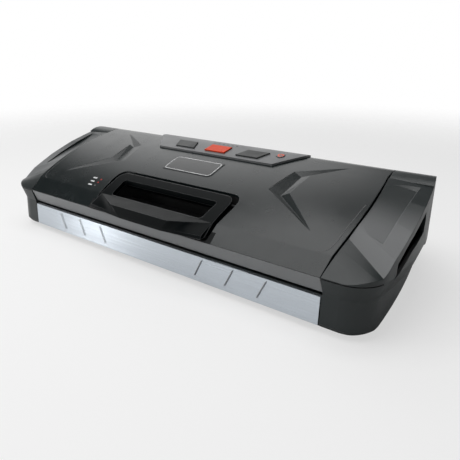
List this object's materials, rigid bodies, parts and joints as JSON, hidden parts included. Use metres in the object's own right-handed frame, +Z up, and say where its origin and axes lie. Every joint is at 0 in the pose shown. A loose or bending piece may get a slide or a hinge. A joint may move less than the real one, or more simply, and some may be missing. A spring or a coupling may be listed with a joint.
{
  "type": "vacuum sealer",
  "caption": "Wide counter-top vacuum sealer with a hinged lid, a latch handle with a finger window, a raised key panel and a metal front strip with bag-width marks.",
  "frame": {"origin": "on the counter under the middle of the machine", "axes": "+Z up, +X along the machine to the user's right, -Y towards the user"},
  "size_m": [0.5024, 0.235, 0.1122],
  "materials": {
    "black_plastic": "fine texture",
    "lid_plastic": "satin",
    "panel_plastic": "satin",
    "key_grey": "satin",
    "key_red": "satin",
    "badge": "gloss",
    "lens_clear": "gloss",
    "lens_red": "gloss",
    "strip_metal": "brushed",
    "steel": "plain",
    "brass": "plain",
    "rubber": "matte",
    "gasket_foam": "matte",
    "seal_metal": "plain",
    "tape": "woven",
    "board": "plain",
    "tray_plastic": "satin",
    "iron": "plain"
  },
  "bodies": {
    "base": {"latch_strikers": "steel", "left_hinge_pin": "steel", "right_hinge_pin": "steel", "left_hinge_bracket": "steel", "right_hinge_bracket": "steel", "hinge_screws": "steel", "base_tub": "black_plastic", "base_screws": "steel", "front_strip": "strip_metal", "base_deck": "black_plastic", "drip_tray": "tray_plastic", "lower_gasket": "gasket_foam", "seal_bar": "seal_metal", "heating_wire": "steel", "release_tape": "tape", "right_end_cap": "black_plastic", "left_end_cap": "black_plastic", "right_rear_cap": "black_plastic", "left_rear_cap": "black_plastic", "rear_housing": "black_plastic", "pump_motor": "steel", "pump_housing": "black_plastic", "transformer": "iron", "main_board": "board", "fan_frame": "black_plastic", "power_inlet": "black_plastic", "lid_switch": "black_plastic", "rubber_feet": "rubber", "vacuum_hose": "rubber"},
    "lid": {"lid_cover": "lid_plastic", "lid_liner": "black_plastic", "control_panel": "panel_plastic", "badge_plate": "badge", "progress_lenses": "lens_clear", "status_lenses": "lens_red", "control_board": "board", "upper_gasket": "gasket_foam", "seal_rubber": "rubber", "left_hinge_bush": "brass", "right_hinge_bush": "brass"},
    "handle": {"lid_handle": "black_plastic", "latch_shaft": "steel", "left_latch_hook": "steel", "right_latch_hook": "steel"},
    "left_key": {"left_button": "key_grey"},
    "vacuum_key": {"vacuum_seal_button": "key_red"},
    "right_key": {"right_button": "key_grey"},
    "power_key": {"power_button": "key_grey"},
    "fan": {"fan_impeller": "black_plastic"},
    "crank": {"pump_crank": "brass"}
  },
  "joints": [
    {"name": "lid_hinge", "type": "hinge", "parent": "base", "child": "lid", "pos_m": [0, 0.032, 0.084], "axis": [-1, 0, 0], "range_deg": [0, 75]},
    {"name": "handle_hinge", "type": "hinge", "parent": "lid", "child": "handle", "pos_m": [0, -0.0637, 0.07238], "axis": [-1, 0, 0], "range_deg": [-2.5, 28]},
    {"name": "left_key_press", "type": "slide", "parent": "lid", "child": "left_key", "axis": [0, 0.224, -0.9746], "range_m": [0, 0.0012], "stiffness_N_per_m": 800},
    {"name": "vacuum_key_press", "type": "slide", "parent": "lid", "child": "vacuum_key", "axis": [0, 0.224, -0.9746], "range_m": [0, 0.0012], "stiffness_N_per_m": 800},
    {"name": "right_key_press", "type": "slide", "parent": "lid", "child": "right_key", "axis": [0, 0.224, -0.9746], "range_m": [0, 0.0012], "stiffness_N_per_m": 800},
    {"name": "power_key_press", "type": "slide", "parent": "lid", "child": "power_key", "axis": [0, 0.2085, -0.978], "range_m": [0, 0.0012], "stiffness_N_per_m": 800},
    {"name": "fan_spin", "type": "hinge", "parent": "base", "child": "fan", "pos_m": [0.045, 0.104, 0.033], "axis": [0, 1, 0], "continuous": true},
    {"name": "crank_spin", "type": "hinge", "parent": "base", "child": "crank", "pos_m": [0, 0.0755, 0.03], "axis": [1, 0, 0], "continuous": true}
  ]
}
